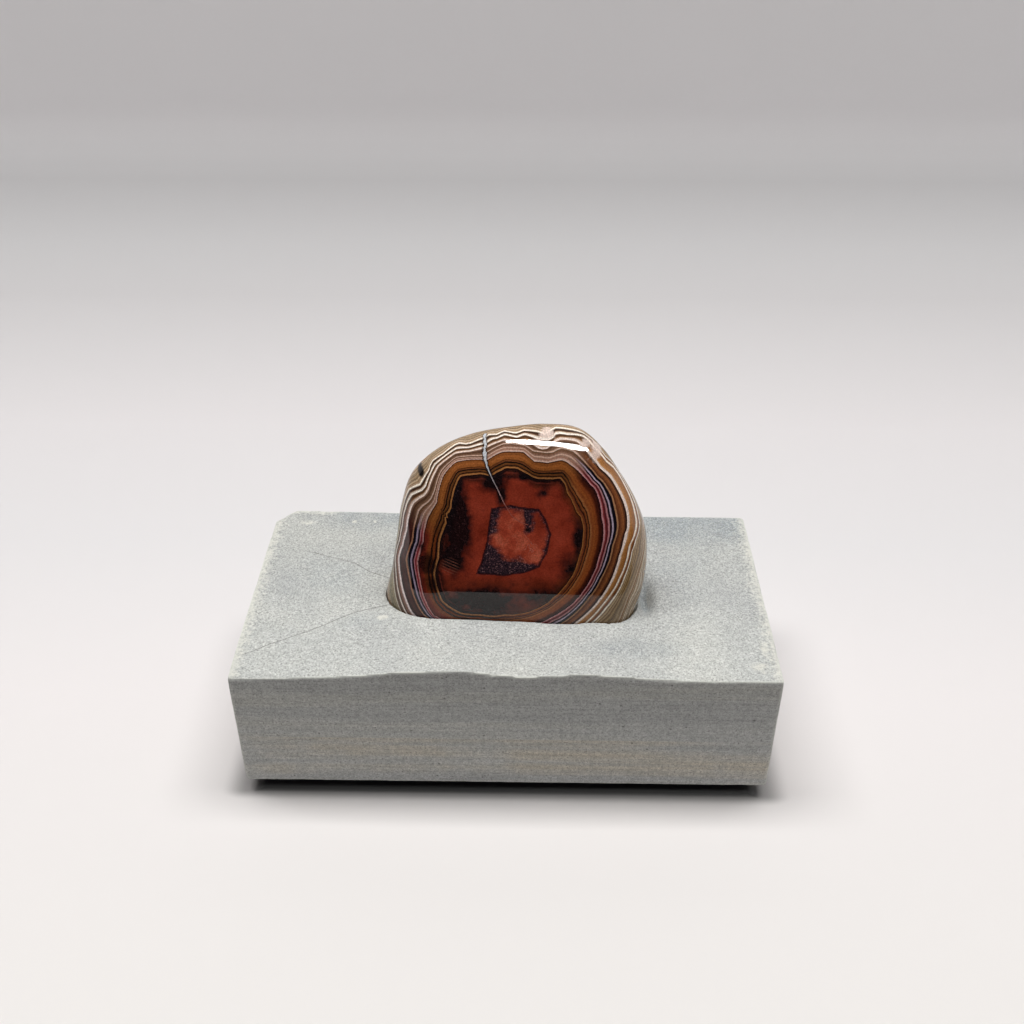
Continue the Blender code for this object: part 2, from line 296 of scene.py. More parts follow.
agate = {
    "outline": (
        (34.9, 48), (34.3, 53.5), (31.8, 60.8), (27.5, 68.6), (23.0, 75.3),
        (17.1, 80.5), (9.0, 81.5), (0.4, 80.6), (-8.7, 78.6), (-17.1, 74.5),
        (-23.2, 68.4), (-25.7, 61.5), (-27.3, 52.5), (-28.9, 43.5), (-30.7, 34.2),
        (-29.2, 28.0), (-20.0, 24.7), (-6.0, 23.9), (9.0, 23.9), (21.5, 24.9),
        (30.3, 28.9), (33.8, 37.0)),   # x and height over the block's underside, mm
    "middle": (1.8, 50),
    "frontRounding": (
        (0, 10), (35, 10.5), (70, 9.5), (100, 9), (130, 11), (165, 13), (200, 17),
        (230, 14), (260, 11), (300, 10), (330, 7.3)),   # angle and width, mm
    "backRoundingShare": 0.62,
    "roundingPower": 2.1,
    "faceDepth": -12.3,
    "faceLean": 10.5,
    "faceTurn": 1.1,
    "backDepth": 12.2,
    "backLean": -1.7,
    "leftRimForward": 2.4,
    "leftRimDirection": 200,
    "blockHeight": 35.4,
    "footHeight": 3.5,
    "sheetScale": 0.9997,      # a hair inside the part's own surface
    "around": 500,             # mesh steps round the stone
    "rings": 170,              # and from the middle of the face to the middle of the back
    "frontShare": 0.6,
    "flatShare": 0.56,
    # mm past the outer line, and band number there: the layers run on over the sides and,
    # on the back, come again in the reverse order
    "backBands": (
        (0, 6), (5, 9.6), (11, 13), (20, 6), (22.5, 5), (24.5, 4), (27, 3), (30, 2), (36, 1), (40, 0)),
    "backReach": 47,           # mm from the outer line to the middle of the back
    "backFrom": 8,             # mm past that line, where they begin to follow the back
    "backBlend": 20,           # mm on to where they follow it fully
    "backWander": 7,           # mm, how far these lines stray from an even spacing
    "wanderGrain": 14,         # mm, from one stray to the next
    "middleReach": 4,          # mm inside the gold line, where band numbers start
    # two parts with colours of their own: degrees round the face where each starts, over
    # how many it comes in, where it ends, and over how many it goes
    "topShare": (54, 9, 162, 12),
    "leftShare": (100, 20, 275, 30),
    "frontLimit": 3,           # mm, marks on the face stop this far back
    "rungs": (3400, 0, 7820),  # of the ladder, in radians per metre: one every 0.74 mm
}

# each line is one growth layer: angle round the face in degrees, and distance from
# the middle of the face along the surface in mm
bandLines = {
    "gold": (
        (225, 19.0), (209.5, 20.4), (188, 19.6), (175.5, 18.3), (146.5, 19.6), (143, 19.8), (143, 20.6),
        (141, 20.9), (138.5, 20.8), (136, 21.1), (121.5, 25.8), (119.5, 26.2), (108.5, 25.0), (103.5, 24.0),
        (94.5, 25.5), (88, 25.3), (79, 23.7), (76, 23.6), (68.5, 24.5), (64.5, 25.6), (60.5, 24.7),
        (57, 23.2), (44, 20.8), (39.5, 20.7), (31.5, 19.6), (21, 17.7), (8.5, 15.9), (350, 14.5),
        (336.5, 13.7), (320.5, 13.2), (293.5, 13.3), (261, 14.0), (238.5, 16.3)),
    "pink": (
        (216, 24.6), (208, 24.4), (194, 23.8), (181.5, 23.8), (167, 22.8), (149.5, 24.1), (143, 24.3),
        (139.5, 24.6), (127.5, 28.6), (120, 29.8), (118, 29.8), (106.5, 28.3), (104.5, 27.7), (98, 29.0),
        (95.5, 29.3), (85.5, 29.3), (80, 27.5), (73.5, 27.9), (67.5, 29.7), (65, 29.7), (57.5, 29.0),
        (49.5, 27.9), (46, 27.9), (42, 27.1), (32.5, 24.9), (23, 23.4), (8, 20.8), (352, 19.2),
        (338, 18.3), (320, 17.6), (303, 17.1), (270, 17.6), (240, 20.4)),
    "brown": (
        (213, 26.6), (205, 26.7), (193, 26.6), (182, 27.0), (169.5, 25.6), (153.5, 26.6), (150.5, 26.8),
        (147, 26.6), (143, 26.1), (140, 26.1), (136, 26.8), (128, 29.5), (125, 30.0), (120, 30.6),
        (118, 30.7), (106, 29.0), (100.5, 30.2), (95, 31.2), (92, 31.2), (85.5, 30.9), (81, 29.8),
        (75, 30.1), (72.5, 30.6), (69, 32.3), (64, 32.7), (56, 31.4), (48, 30.4), (45, 30.5),
        (36, 29.7), (31.5, 28.8), (22, 27.1), (13.5, 24.5), (0, 22.5), (352.5, 21.6), (336.5, 20.4),
        (327, 20.1), (311, 20.0), (270, 19.6), (240, 22.6)),
    "white": (
        (209, 29.5), (203, 29.5), (185, 30.0), (183, 29.9), (175.5, 28.6), (166, 28.0), (153.5, 29.1),
        (150, 29.2), (142, 28.0), (138.5, 28.2), (128, 31.1), (118, 31.9), (111, 31.0), (103, 30.9),
        (100.5, 31.3), (94.5, 32.2), (88.5, 31.6), (85, 32.1), (83, 31.9), (79, 30.7), (77, 30.6),
        (75, 31.1), (73, 33.1), (70.5, 34.4), (65, 35.4), (63, 35.4), (60.5, 34.9), (57.5, 34.1),
        (49.5, 32.7), (42, 32.8), (29.5, 31.9), (25, 31.3), (21, 30.4), (18.5, 29.8), (16, 28.4),
        (6.5, 25.8), (1, 25.1), (349, 23.9), (337, 23.0), (323, 22.3), (316, 22.1), (270, 21.8),
        (240, 25.0)),
    "cream": (
        (208, 31.1), (205, 31.1), (189, 31.4), (186, 31.8), (183, 31.5), (174.5, 30.1), (165, 29.8),
        (160, 30.4), (153.5, 30.8), (147.5, 30.7), (141.5, 29.2), (138.5, 29.2), (129.5, 31.9),
        (126, 32.2), (117, 33.0), (111, 31.9), (103, 32.0), (100, 32.9), (98, 32.9), (94.5, 33.8),
        (89, 32.9), (85.5, 33.8), (80, 33.1), (75.5, 33.3), (73.5, 34.0), (73, 35.2), (71, 35.8),
        (68, 36.1), (61.5, 37.7), (59.5, 37.6), (55, 36.4), (52, 36.2), (47.5, 35.5), (42.5, 36.2),
        (38, 36.2), (28.5, 35.2), (23.5, 34.4), (16.5, 33.1), (14.5, 32.2), (9.5, 28.8), (353.5, 26.0),
        (341, 24.7), (334, 24.2), (320, 23.8), (270, 23.6), (240, 27.2)),
    "outer": (
        (206.5, 32.6), (197, 32.6), (191, 33.2), (189, 34.1), (184.5, 32.8), (181, 32.6), (176, 31.3),
        (166.5, 30.8), (162, 31.2), (153.5, 32.0), (147.5, 32.3), (140.5, 30.5), (133, 31.7),
        (131.5, 32.6), (129.5, 33.3), (124, 33.3), (117.5, 34.3), (115.5, 34.3), (112.5, 33.2),
        (110, 33.0), (103, 33.7), (101.5, 34.4), (98, 34.0), (94.5, 35.0), (90.5, 34.1), (89, 34.1),
        (86, 35.0), (80.5, 35.0), (77, 34.5), (73, 37.3), (70.5, 37.6), (62, 38.6), (57, 38.4),
        (52.5, 37.2), (48.5, 36.4), (43, 37.0), (38.5, 37.0), (28, 36.1), (22, 35.6), (17.5, 34.7),
        (14.5, 34.1), (12.5, 32.9), (10, 30.9), (6, 29.1), (354.5, 27.2), (341.5, 25.9), (334, 25.3),
        (322.5, 24.9), (270, 25.4), (240, 29.6)),
}

# the colours met from the middle outwards, by band number, on three parts of the stone
bandColours = {
    "right": (
        (0.86, "#4a1c12"), (0.91, "#1c1012"), (0.95, "#1c1012"), (0.975, "#a5683a"), (1.03, "#a06236"),
        (1.05, "#7c4226"), (1.12, "#6e3822"), (1.15, "#2c1712"), (1.17, "#2c1712"), (1.19, "#7e4628"),
        (1.25, "#8c4c28"), (1.275, "#301a12"), (1.30, "#301a12"), (1.33, "#aa6c42"), (1.37, "#a26238"),
        (1.42, "#904e2a"), (1.55, "#9a5228"), (1.68, "#884422"), (1.75, "#5a2818"), (1.90, "#301412"),
        (1.975, "#2a1214"), (1.99, "#d69a9c"), (2.06, "#cf8e92"), (2.10, "#8e3436"), (2.15, "#7e2e32"),
        (2.20, "#2a1216"), (2.28, "#7a3236"), (2.33, "#c98e92"), (2.39, "#c48c90"), (2.43, "#2a161c"),
        (2.54, "#241420"), (2.60, "#bfaec0"), (2.66, "#bfaec0"), (2.70, "#14101a"), (2.90, "#120e16"),
        (2.96, "#b48460"), (3.03, "#ac7a56"), (3.08, "#522c1c"), (3.30, "#7c482c"), (3.50, "#8c5430"),
        (3.65, "#643a26"), (3.75, "#2c1a14"), (3.86, "#42281e"), (3.91, "#f2dcd2"), (4.10, "#fbece4"),
        (4.16, "#c29468"), (4.30, "#b07844"), (4.60, "#a26a38"), (4.78, "#84502c"), (4.86, "#f4e4d2"),
        (5.10, "#f8ecde"), (5.20, "#a46c3e"), (5.45, "#7c4a28"), (5.80, "#6c4630"), (5.90, "#f2e6d6"),
        (6.08, "#f2e6d6"), (6.25, "#7e5834"), (6.50, "#c6ac84"), (6.62, "#6e4e32"), (6.90, "#b4966c"),
        (7.05, "#684a2e"), (7.40, "#a4865c"), (7.70, "#604a34"), (8.20, "#927852"), (9.00, "#7c664a")),
    "left": (
        (0.86, "#1a1014"), (0.95, "#140c10"), (0.975, "#b47c50"), (1.04, "#a87044"), (1.07, "#5a2e18"),
        (1.10, "#1e1010"), (1.17, "#241210"), (1.20, "#72381e"), (1.30, "#7c4020"), (1.33, "#24120e"),
        (1.40, "#2c160e"), (1.44, "#8a4824"), (1.58, "#8a4424"), (1.68, "#7c3020"), (1.85, "#70281e"),
        (1.93, "#3a1614"), (1.96, "#3a1614"), (1.99, "#d49a98"), (2.06, "#cf8e8e"), (2.10, "#9a3438"),
        (2.17, "#8a2e34"), (2.20, "#3a1a20"), (2.24, "#c07a80"), (2.29, "#b47880"), (2.33, "#241620"),
        (2.45, "#1c1420"), (2.54, "#b4a0b4"), (2.62, "#a898b0"), (2.67, "#16101c"), (2.90, "#14101a"),
        (2.96, "#b88468"), (3.04, "#a67258"), (3.12, "#3c201e"), (3.40, "#4e2824"), (3.60, "#42221f"),
        (3.84, "#361c20"), (3.90, "#f6e6e4"), (4.10, "#f2e0de"), (4.18, "#966e62"), (4.45, "#866050"),
        (4.70, "#60443a"), (4.85, "#523a32"), (4.90, "#f4e6de"), (5.08, "#f0e0d6"), (5.20, "#6c5244"),
        (5.50, "#5c4436"), (5.82, "#6a5242"), (5.92, "#d8ccbc"), (6.05, "#ccc0ac"), (6.20, "#8c7e66"),
        (6.60, "#a49678"), (6.75, "#7c705a"), (7.20, "#9a8e72"), (7.40, "#746a54"), (8.00, "#8e846c"),
        (9.00, "#857c64")),
    "top": (
        (0.86, "#241214"), (0.95, "#1a1012"), (0.975, "#ae7444"), (1.04, "#ae7444"), (1.08, "#3c2214"),
        (1.13, "#20120e"), (1.17, "#6a4024"), (1.24, "#744624"), (1.28, "#20140e"), (1.34, "#20140e"),
        (1.40, "#80492a"), (1.44, "#3a2212"), (1.50, "#8e5228"), (1.70, "#9a5a2c"), (1.86, "#8a5028"),
        (1.93, "#3c2216"), (1.965, "#3c2216"), (1.99, "#e4c4b6"), (2.08, "#d8b2a2"), (2.18, "#8e6656"),
        (2.34, "#a27c68"), (2.44, "#d2b09e"), (2.56, "#946e5c"), (2.72, "#745240"), (2.90, "#62442f"),
        (2.97, "#dcc0b0"), (3.04, "#c8a898"), (3.15, "#8a6650"), (3.45, "#5a4030"), (3.60, "#4a3224"),
        (3.82, "#987460"),
        (3.90, "#f0dcd2"), (4.10, "#ecd8cc"), (4.20, "#b8967c"), (4.35, "#7a5236"), (4.60, "#3c2a20"),
        (4.78, "#7a5c44"), (4.88, "#f8ece2"), (5.10, "#faf0e6"), (5.25, "#c4a68c"), (5.40, "#54392a"),
        (5.75, "#30211a"), (5.88, "#ccb8a4"), (5.96, "#fcf2e8"), (6.12, "#f2e4d4"), (6.25, "#b89c80"),
        (6.50, "#8c7054"), (6.70, "#c6ae90"), (6.90, "#7c644c"), (7.30, "#a48b6c"), (7.60, "#80694f"),
        (8.20, "#9c866a"), (9.00, "#7e6b54")),
}

# marks inside the gold line, at x and height in mm
fieldMarks = {
    "core": (
        (-3.6, 68.3), (1.0, 69.2), (5.2, 68.5), (7.9, 68.4), (9.4, 65.5), (10.7, 61.8), (9.7, 56.8),
        (7.9, 53.1), (4.3, 51.4), (-0.9, 50.6), (-7.4, 50.9), (-6.0, 54.8), (-4.7, 59.7), (-4.2, 64.1)),
    "coreGlow": (
        (-1.1, 68.6), (-2.2, 64.9), (-2.5, 62.3), (-4.6, 60.4), (-3.8, 58.6), (-2.0, 57.6), (-1.1, 55.9),
        (0.8, 55.0), (3.4, 55.3), (5.3, 54.0), (7.4, 53.6), (8.7, 55.5), (9.4, 58.2), (10.2, 61.2),
        (9.0, 65.2), (7.8, 67.7), (6.4, 67.2), (6.2, 63.4), (5.6, 62.2), (4.4, 62.4), (4.3, 65.4),
        (3.4, 67.6)),
    "crack": (
        (-5.2, 90.0), (-5.2, 83.0), (-5.0, 79.7), (-4.6, 78.4), (-3.4, 75.9), (-2.0, 73.0), (-0.6, 69.7),
        (1.3, 66.4), (3.2, 64.9), (5.1, 64.2)),
    "clouds": (                               # x, height, width, height of the cloud, strength
        (-12.0, 70.0, 2.8, 5.0, 1.0), (-11.6, 63.0, 3.1, 8.0, 1.1), (-12.8, 55.5, 3.0, 5.0, 0.9),
        (-3.0, 74.9, 2.8, 2.2, 1.0), (-1.2, 71.6, 1.2, 2.8, 0.9), (5.5, 76.3, 8.0, 0.8, 0.8),
        (8.4, 72.4, 1.6, 1.4, 0.7), (17.2, 60.5, 1.5, 6.0, 0.75), (15.4, 53.0, 2.6, 4.0, 0.65),
        (5.1, 62.9, 0.9, 0.7, 0.9), (10.0, 45.0, 9.0, 2.6, 0.7), (-6.0, 44.0, 9.0, 3.4, 1.0)),
    "stains": (                               # dark patches in the bands
        (-19.3, 52.6, 1.9, 2.6, 1.3), (-18.4, 47.6, 2.2, 3.4, 0.7), (-20.6, 57.5, 1.2, 2.2, 0.6)),
    "pales": (                                # pinkish white patches in the bands
        (18.1, 82.1, 1.6, 0.9, 0.95), (21.2, 80.4, 1.7, 1.8, 0.9), (9.3, 84.4, 1.7, 0.7, 1.0),
        (7.6, 83.6, 1.3, 0.5, 0.8), (-10.0, 82.6, 2.2, 0.7, 0.6)),
    "eye": (-20.5, 74.3),
    "ladder": (-13.7, 52.8),                  # a few short pale rungs
    "whiskers": (5.2, 59.6),                  # fine pale curls in the core
}


# a smooth closed curve through (position, value) pairs, read at many positions
def readLoop(pairs, at, period):
    pairs = np.array(sorted(pairs), float)
    x = np.concatenate([pairs[-2:, 0] - period, pairs[:, 0], pairs[:2, 0] + period])
    v = np.concatenate([pairs[-2:, 1], pairs[:, 1], pairs[:2, 1]])
    at = (at - x[1]) % period + x[1]
    i = np.clip(np.searchsorted(x, at, side="right") - 1, 1, len(x) - 3)
    span = x[i + 1] - x[i]
    t = (at - x[i]) / span
    slopeIn = (v[i + 1] - v[i - 1]) / (x[i + 1] - x[i - 1]) * span
    slopeOut = (v[i + 2] - v[i]) / (x[i + 2] - x[i]) * span
    return ((2 * t**3 - 3 * t**2 + 1) * v[i] + (t**3 - 2 * t**2 + t) * slopeIn
            + (3 * t**2 - 2 * t**3) * v[i + 1] + (t**3 - t**2) * slopeOut)


# the surface in mm at an angle round the face and a share of the way from its
# middle, over the rounded edge, to the middle of the back
def agateSurface(angle, way):
    midX, midZ = agate["middle"]
    outline = [(math.atan2(z - midZ, x - midX) % math.tau, math.hypot(x - midX, z - midZ))
               for x, z in agate["outline"]]
    rounding = [(math.radians(a), w) for a, w in agate["frontRounding"]]
    radius = readLoop(outline, angle, math.tau)
    width = readLoop(rounding, angle, math.tau)
    inFront = way <= agate["frontShare"]
    ring = np.where(inFront, way / agate["frontShare"], (1 - way) / (1 - agate["frontShare"]))
    flat = np.where(inFront, 1 - width / radius, 1 - agate["backRoundingShare"])
    flatShare = agate["flatShare"]
    turn = np.clip((ring - flatShare) / (1 - flatShare), 0, 1) * math.pi / 2
    power = 2 / agate["roundingPower"]
    isFlat = ring < flatShare
    share = np.where(isFlat, flat * ring / flatShare, flat + (1 - flat) * np.sin(turn) ** power)
    fullness = np.where(isFlat, 1.0, np.maximum(np.cos(turn), 0) ** power)
    rimX, rimZ = midX + np.cos(angle) * radius, midZ + np.sin(angle) * radius
    x, z = midX + np.cos(angle) * radius * share, midZ + np.sin(angle) * radius * share
    lean, faceTurn, backLean = (
        math.tan(math.radians(agate[name])) for name in ("faceLean", "faceTurn", "backLean"))

    def faceY(x, z):
        return agate["faceDepth"] + (z - agate["blockHeight"]) * lean - x * faceTurn

    def backY(z):
        return agate["backDepth"] + (z - agate["blockHeight"]) * backLean

    forward = np.maximum(np.cos(angle - math.radians(agate["leftRimDirection"])), 0) ** 2
    rimY = (faceY(rimX, rimZ) + backY(rimZ)) / 2 - forward * agate["leftRimForward"]
    y = rimY + (np.where(inFront, faceY(x, z), backY(z)) - rimY) * fullness
    return np.stack(np.broadcast_arrays(x, y, z + agate["footHeight"]), -1)


# distance of one band line from the middle of the face, at every angle
def readBand(name, angle):
    pairs = np.array(sorted(bandLines[name]), float)
    return np.interp(np.degrees(angle), pairs[:, 0], pairs[:, 1], period=360)


# the places or normals of a mesh's vertices, one row for each
def readVertices(mesh, what):
    values = np.empty(len(mesh.vertices) * 3)
    mesh.vertices.foreach_get(what, values)
    return values.reshape(-1, 3)


# a sheet laid over the stone: its columns run round the stone and its rows from
# the middle of the face to the middle of the back
def makeAgateSheet():
    around, rings = agate["around"], agate["rings"]
    angle = np.arange(around)[:, None] / around * math.tau
    way = np.arange(rings + 1)[None, :] / rings
    grid = agateSurface(angle, way)
    centre = grid.mean(axis=(0, 1))
    grid = centre + (grid - centre) * agate["sheetScale"]
    steps = np.linalg.norm(np.diff(grid, axis=1), axis=-1)
    distance = np.concatenate([np.zeros((around, 1)), np.cumsum(steps, axis=1)], axis=1)
    shape = bmesh.new()
    bmesh.ops.create_grid(shape, x_segments=around, y_segments=rings, size=0.5)
    mesh = bpy.data.meshes.new("polishedAgate")
    shape.to_mesh(mesh)
    shape.free()
    sheet = readVertices(mesh, "co")
    column = np.round((sheet[:, 0] + 0.5) * around).astype(int) % around
    row = np.round((sheet[:, 1] + 0.5) * rings).astype(int)
    place = grid[column, row]
    mesh.vertices.foreach_set("co", (place * mm).ravel())
    mesh.update()
    return mesh, angle[column, 0], distance[column, row], distance[column, -1], place


# the sheet's two long edges meet along one line, and its ends close to a point
def closeSheet(mesh):
    shape = bmesh.new()
    shape.from_mesh(mesh)
    edge = [v for v in shape.verts if v.is_boundary]
    bmesh.ops.remove_doubles(shape, verts=edge, dist=1e-7)
    bmesh.ops.recalc_face_normals(shape, faces=shape.faces)
    shape.to_mesh(mesh)
    shape.free()
    mesh.shade_smooth()
    mesh.update()


def addAttribute(mesh, name, values):
    attribute = mesh.attributes.new(name, "FLOAT", "POINT")
    attribute.data.foreach_set("value", np.asarray(values, dtype=np.float32))


def noiseAt(place, grain, octaves=3, shift=0.0):
    offset = Vector((shift, shift * 1.7, shift * 0.6))
    return np.array([noise.fractal(Vector(p) / grain + offset, 1.0, 2.0, octaves) for p in place])


# distance in mm to a line of points, positive on one side of it and negative on the other
def sideDistance(at, points):
    points = np.array(points, float)
    nearest, side = np.full(len(at), 1e9), np.ones(len(at))
    for start, end in zip(points[:-1], points[1:]):
        along = end - start
        reach = at - start
        t = np.clip((reach @ along) / (along @ along), 0, 1)
        gap = np.linalg.norm(reach - t[:, None] * along, axis=1)
        isNearer = gap < nearest
        side = np.where(isNearer, np.where(along[0] * reach[:, 1] - along[1] * reach[:, 0] > 0, 1, -1), side)
        nearest = np.minimum(gap, nearest)
    return side * nearest


# the same for a closed shape: positive inside it, negative outside
def shapeDepth(at, points):
    points = points + points[:1]
    inside = np.zeros(len(at), bool)
    for (x1, z1), (x2, z2) in zip(points[:-1], points[1:]):
        crosses = (z1 > at[:, 1]) != (z2 > at[:, 1])
        with np.errstate(divide="ignore", invalid="ignore"):
            inside ^= crosses & (at[:, 0] < (x2 - x1) * (at[:, 1] - z1) / (z2 - z1) + x1)
    return np.where(inside, 1, -1) * np.abs(sideDistance(at, points))


# the growth layers as one number that rises from the middle outwards: 1 on the gold
# line, then 2, 3, 4, 5 and 6 on the next lines, and on past them over the sides and back
def bandNumber(angle, distance, whole, place):
    lines = [np.zeros_like(angle)]
    for name in ("gold", "pink", "brown", "white", "cream", "outer"):
        lines.append(np.maximum(readBand(name, angle), lines[-1] + 0.25))
    number = np.clip(1 - (lines[1] - distance) / agate["middleReach"], 0, 1)
    for inner, outer in zip(lines[1:-1], lines[2:]):
        number += np.clip((distance - inner) / (outer - inner), 0, 1)
    past = np.maximum(distance - lines[-1], 0)
    onBack = np.clip((past - agate["backFrom"]) / agate["backBlend"], 0, 1)
    past += (agate["backReach"] - (whole - distance) - past) * onBack
    wander = noiseAt(place, agate["wanderGrain"]) * np.clip(past / agate["wanderGrain"], 0, 1)
    onward = np.interp(past + wander * agate["backWander"], *zip(*agate["backBands"]))
    return np.where(past > 0, number - 6 + onward, number)


# soft patches, each given by its middle, half width, half height and strength
def patchStrength(at, patches):
    strength = np.zeros(len(at))
    for x, z, width, height, most in patches:
        spread = ((at[:, 0] - x) / width) ** 2 + ((at[:, 1] - z) / height) ** 2
        strength = np.maximum(strength, most * np.exp(-spread * 0.9))
    return strength


def makeAgate():
    mesh, angle, distance, whole, place = makeAgateSheet()
    degrees = np.degrees(angle)
    at = place[:, (0, 2)]
    inFront = place[:, 1] < agate["frontLimit"]
    far = 20                   # mm, the distance from every mark for the rest of the stone
    addAttribute(mesh, "band", bandNumber(angle, distance, whole, place))
    for name in ("topShare", "leftShare"):
        start, fadeIn, end, fadeOut = agate[name]
        share = np.clip((degrees - start) / fadeIn, 0, 1) * np.clip((end - degrees) / fadeOut, 0, 1)
        addAttribute(mesh, name, share)
    for name in ("core", "coreGlow"):
        addAttribute(mesh, name, np.where(inFront, shapeDepth(at, fieldMarks[name]), -far))
    # the crack doesn't run on past its lower end
    crack = sideDistance(at, fieldMarks["crack"])
    beyond = np.clip(at[:, 0] - fieldMarks["crack"][-1][0], 0, 9) * 3
    addAttribute(mesh, "crack", np.where(inFront, crack + np.sign(crack) * beyond, far))
    for name in ("eye", "ladder", "whiskers"):
        addAttribute(mesh, name, np.where(inFront, np.hypot(*(at - fieldMarks[name]).T), far))
    for name in ("clouds", "stains", "pales"):
        addAttribute(mesh, name, np.where(inFront, patchStrength(at, fieldMarks[name]), 0))
    closeSheet(mesh)
    addPiece("polishedAgate", mesh, agateMaterial(), "root", "agate", "agate")


# a long list of colours by band number, split over ramps that hold 30 each
def bandRamp(add, band, stops):
    colour = None
    for first in range(0, len(stops) - 1, 29):
        part = stops[first:first + 30]
        low, high = part[0][0], part[-1][0]
        share = add("MapRange", {0: band, 1: low, 2: high})
        part = [((number - low) / (high - low), hexColour) for number, hexColour in part]
        ramp = add("ValToRGB", {0: share}, stops=part)
        if colour:
            isPast = add("Math", {0: band, 1: low}, operation="GREATER_THAN")
            ramp = add("Mix", {0: isPast, 6: colour, 7: ramp}, **blend)
        colour = ramp
    return colour


# quartz polished on a wheel: thin growth bands in reds, browns and white under a glassy gloss
def agateMaterial():
    material, add = newMaterial("polishedBandedAgate")
    place = add("TexCoord", out="Object")
    height = add("SeparateXYZ", {0: place}, out=2)
    mark = {name: add("Attribute", out="Fac", attribute_name=name) for name in (
        "band", "topShare", "leftShare", *fieldMarks)}
    # noise by the size of its grains in mm, from fine mineral specks to broad clouds
    grain = {size: add("TexNoise", {"Vector": place, "Scale": 1000 / size, "Detail": detail})
             for size, detail in (
                 (0.35, 3), (0.5, 3), (0.6, 5), (0.9, 4), (1.5, 6), (2.2, 6), (3, 2), (5, 4))}

    # lays a colour over another where a mark, made ragged by noise, lies past a value
    def lay(over, under, where, size, amount, low, high, most=1.0):
        share = add("Math", {0: grain[size], 1: amount, 2: where}, operation="MULTIPLY_ADD")
        share = add("MapRange", {0: share, 1: low, 2: high, 4: most})
        return add("Mix", {0: share, 6: under, 7: over}, **blend)

    # the growth bands, their lines slightly rippled
    band = add("Math", {0: grain[2.2], 1: 0.1, 2: mark["band"]}, operation="MULTIPLY_ADD")
    band = add("Math", {0: grain[0.5], 1: 0.04, 2: band}, operation="MULTIPLY_ADD")
    band = add("Math", {0: band, 1: 0.07}, operation="SUBTRACT")
    colour = bandRamp(add, band, bandColours["right"])
    left, top = bandRamp(add, band, bandColours["left"]), bandRamp(add, band, bandColours["top"])
    colour = add("Mix", {0: mark["leftShare"], 6: colour, 7: left}, **blend)
    colour = add("Mix", {0: mark["topShare"], 6: colour, 7: top}, **blend)
    # the outer layers, on past the last line, and the hair-fine layers within every band
    streak = add("TexNoise", {"W": band, "Scale": 0.9, "Detail": 3}, noise_dimensions="1D")
    shell = add("ValToRGB", {0: streak}, stops=(
        (0.26, "#3a2a20"), (0.34, "#7c4a2a"), (0.39, "#90694a"), (0.44, "#ac8c66"), (0.48, "#e6d6c2"),
        (0.50, "#8a6c50"), (0.55, "#a2865e"), (0.60, "#ccb696"), (0.63, "#664432"), (0.70, "#9a7c5c")))
    colour = add("Mix", {0: add("MapRange", {0: band, 1: 7.6, 2: 8.8}), 6: colour, 7: shell}, **blend)
    fine = add("TexNoise", {"W": band, "Scale": 7, "Detail": 2}, noise_dimensions="1D")
    colour = tint(add, colour, fine, 0.3, 0.7, 0.8, 1.22)
    # dark stains and pinkish white patches in the bands
    colour = lay("#1c1112", colour, mark["stains"], 1.5, 0.9, 0.7, 1.1, 0.85)
    colour = lay("#ecd6cc", colour, mark["pales"], 1.5, 0.9, 0.75, 1.1, 0.8)

    # the red middle, browner towards the gold line and below
    red = add("ValToRGB", {0: grain[5]}, stops=((0.30, "#822e1e"), (0.50, "#9e3c29"), (0.70, "#ac4430")))
    red = lay("#74391c", red, band, 3, 0.8, 0.8, 1.3)
    low = add("MapRange", {0: height, 1: 51.5 * mm, 2: 48.5 * mm, 4: 0.5})
    red = add("Mix", {0: low, 6: red, 7: "#5e2a1a"}, **blend)
    # a rim of dark layers just inside the gold line, with one thin red layer in it
    rim = add("Math", {0: grain[2.2], 1: 0.7, 2: band}, operation="MULTIPLY_ADD")
    rim = add("MapRange", {0: rim, 1: 0.6, 2: 1.1})
    share = add("Math", {0: mark["leftShare"], 1: mark["topShare"]}, operation="ADD")
    rim = fade(add, rim, share, 0, 1, 0.25, 0.92)
    red = add("Mix", {0: rim, 6: red, 7: "#171014"}, **blend)
    layer = add("Math", {0: band, 1: 0.68, 2: 0.045}, operation="COMPARE")
    layer = fade(add, layer, grain[3], 0.42, 0.52, 0, 0.9)
    red = add("Mix", {0: layer, 6: red, 7: "#6e3026"}, **blend)
    # the core: a dark field, speckled, with a fleshy red form in it
    dark = add("ValToRGB", {0: grain[0.35]}, stops=(
        (0.35, "#2a1f28"), (0.52, "#3b2a33"), (0.60, "#50363d"), (0.68, "#8a6664")))
    fleshy = add("ValToRGB", {0: grain[3]}, stops=((0.35, "#a9432f"), (0.50, "#bd5039"), (0.65, "#cc654c")))
    corner = add("MapRange", {0: add("SeparateXYZ", {0: place}), 1: 5.8 * mm, 2: 7.5 * mm})
    corner = fade(add, corner, height, 59.5 * mm, 63 * mm)
    fleshy = add("Mix", {0: corner, 6: fleshy, 7: red}, **blend)
    heart = lay(fleshy, dark, mark["coreGlow"], 1.5, 3.2, 1.1, 2.4)
    core = add("Math", {0: grain[2.2], 1: 0.8, 2: mark["core"]}, operation="MULTIPLY_ADD")
    border = add("MapRange", {0: add("Math", {0: core, 1: 0.6, 2: 0.26}, operation="COMPARE"), 4: 0.75})
    core = add("MapRange", {0: core, 1: 0.25, 2: 0.75})
    red = add("Mix", {0: core, 6: red, 7: heart}, **blend)
    red = add("Mix", {0: border, 6: red, 7: "#28141a"}, **blend)
